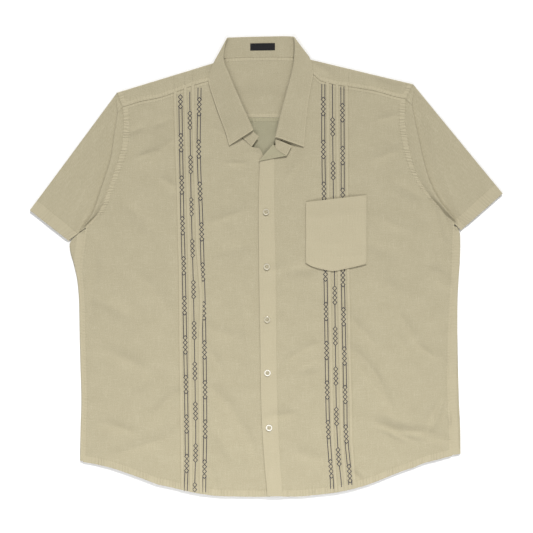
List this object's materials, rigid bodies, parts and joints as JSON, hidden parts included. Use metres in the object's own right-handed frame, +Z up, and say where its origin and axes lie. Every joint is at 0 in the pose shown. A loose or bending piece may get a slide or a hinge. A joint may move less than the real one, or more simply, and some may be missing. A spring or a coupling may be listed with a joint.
{
  "type": "short-sleeve shirt",
  "caption": "Button-front short-sleeve shirt laid flat, with pointed collar turned out at the neck, chest pocket, sewn tucks, curved hem and open cuffs.",
  "frame": {"origin": "on the surface the shirt lies on, under the middle of its outline", "axes": "+X towards the wearer's left sleeve, +Y from hem to neck, +Z up from the surface, with the shirt's front facing up"},
  "size_m": [0.8502, 0.8286, 0.0148],
  "materials": {
    "cloth": "matt slubbed plain weave",
    "button": "semi-gloss",
    "label": "woven satin",
    "embroidery": "twisted thread"
  },
  "bodies": {
    "root": {"back": "cloth", "yoke": "cloth", "front_right": "cloth", "front_left": "cloth", "placket": "cloth", "sleeve_right": "cloth", "sleeve_left": "cloth", "collar_band": "cloth", "collar_leaf": "cloth", "pocket": "cloth", "label": "label", "button_1": "button", "button_2": "button", "button_3": "button", "button_4": "button", "button_5": "button"}
  },
  "joints": []
}
